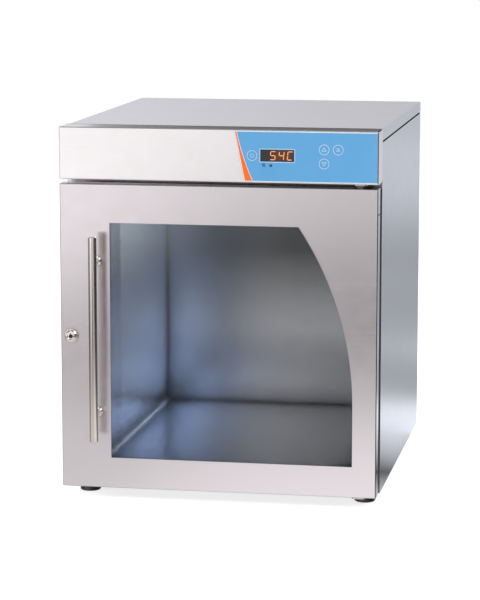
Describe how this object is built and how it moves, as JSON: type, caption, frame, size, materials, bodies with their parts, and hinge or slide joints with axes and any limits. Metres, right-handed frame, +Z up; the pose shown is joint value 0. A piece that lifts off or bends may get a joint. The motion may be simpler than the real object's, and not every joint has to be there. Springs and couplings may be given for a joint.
{
  "type": "blanket warming cabinet",
  "caption": "Countertop warming cabinet of folded stainless sheet with a glazed side-hinged door, bar pull, cam lock, heated insulated cavity and a control hood with display and keys.",
  "frame": {"origin": "on the ground in the middle of the outline, pull handle included: half way between the side panels, and half way between the bar's front and the cover's rear edge", "axes": "+Z up, -Y out of the door towards the user, +X to the user's right (hinge side)"},
  "size_m": [0.6, 0.764, 0.7125],
  "materials": {
    "stainless_sheet": "brushed",
    "satin_stainless": "satin",
    "liner_stainless": "satin",
    "galvanised_sheet": "matte",
    "brushed_bar": "brushed lengthwise",
    "polished_steel": "polished",
    "zinc_steel": "plated",
    "black_aluminium": "anodised",
    "brass_metal": "machined",
    "black_rubber": "matte",
    "grey_silicone": "matte",
    "red_silicone": "matte",
    "black_plastic": "moulded",
    "grey_cable": "smooth",
    "green_board": "lacquered",
    "blue_overlay": "satin film",
    "key_face": "satin film",
    "display_lens": "gloss",
    "mineral_wool": "matte",
    "clear_glass": "polished"
  },
  "bodies": {
    "cabinet": {"foot_pads": "black_rubber", "foot_studs": "zinc_steel", "side_panel_left": "stainless_sheet", "side_panel_right": "stainless_sheet", "top_cover": "stainless_sheet", "back_panel": "stainless_sheet", "back_screws": "zinc_steel", "base_pan": "galvanised_sheet", "face_frame": "stainless_sheet", "cavity_liner": "liner_stainless", "insulation_sides": "mineral_wool", "insulation_floor": "mineral_wool", "insulation_top": "mineral_wool", "insulation_back": "mineral_wool", "heater_mats": "red_silicone", "temperature_probe": "polished_steel", "probe_guard": "liner_stainless", "equipment_deck": "galvanised_sheet", "power_supply": "zinc_steel", "power_relay": "black_aluminium", "limit_thermostat": "black_plastic", "ribbon_cable": "grey_cable", "power_inlet": "black_plastic", "hood": "satin_stainless", "membrane_overlay": "blue_overlay", "display_window": "display_lens", "display_module": "black_plastic", "control_board": "green_board", "board_standoffs": "brass_metal", "key_switches": "black_plastic", "upper_hinge_bracket": "stainless_sheet", "lower_hinge_bracket": "stainless_sheet", "bracket_screws": "zinc_steel", "hinge_pins": "polished_steel", "hinge_washers": "polished_steel", "lock_keeper": "stainless_sheet"},
    "door": {"door_skin": "stainless_sheet", "door_pan": "liner_stainless", "outer_glass": "clear_glass", "inner_glass": "clear_glass", "glass_spacer": "black_aluminium", "door_gasket": "grey_silicone", "handle_bar": "brushed_bar", "handle_posts": "polished_steel", "handle_screws": "zinc_steel", "hinge_blocks": "zinc_steel", "hinge_bushes": "brass_metal", "lock_housing": "polished_steel", "lock_nut": "zinc_steel"},
    "lock": {"lock_plug": "polished_steel", "lock_cam": "zinc_steel", "cam_screw": "zinc_steel"},
    "power_button": {"power_key": "key_face"},
    "up_button": {"up_key": "key_face"},
    "down_button": {"down_key": "key_face"},
    "set_button": {"set_key": "key_face"}
  },
  "joints": [
    {"name": "door_hinge", "type": "hinge", "parent": "cabinet", "child": "door", "pos_m": [0.266, -0.317, 0.3], "axis": [0, 0, 1], "range_deg": [0, 165]},
    {"name": "lock_turn", "type": "hinge", "parent": "door", "child": "lock", "pos_m": [-0.2792, -0.334, 0.318], "axis": [0, 1, 0], "range_deg": [0, 90]},
    {"name": "power_press", "type": "slide", "parent": "cabinet", "child": "power_button", "axis": [0, 1, 0], "range_m": [0, 0.0004], "stiffness_N_per_m": 400},
    {"name": "up_press", "type": "slide", "parent": "cabinet", "child": "up_button", "axis": [0, 1, 0], "range_m": [0, 0.0004], "stiffness_N_per_m": 400},
    {"name": "down_press", "type": "slide", "parent": "cabinet", "child": "down_button", "axis": [0, 1, 0], "range_m": [0, 0.0004], "stiffness_N_per_m": 400},
    {"name": "set_press", "type": "slide", "parent": "cabinet", "child": "set_button", "axis": [0, 1, 0], "range_m": [0, 0.0004], "stiffness_N_per_m": 400}
  ]
}
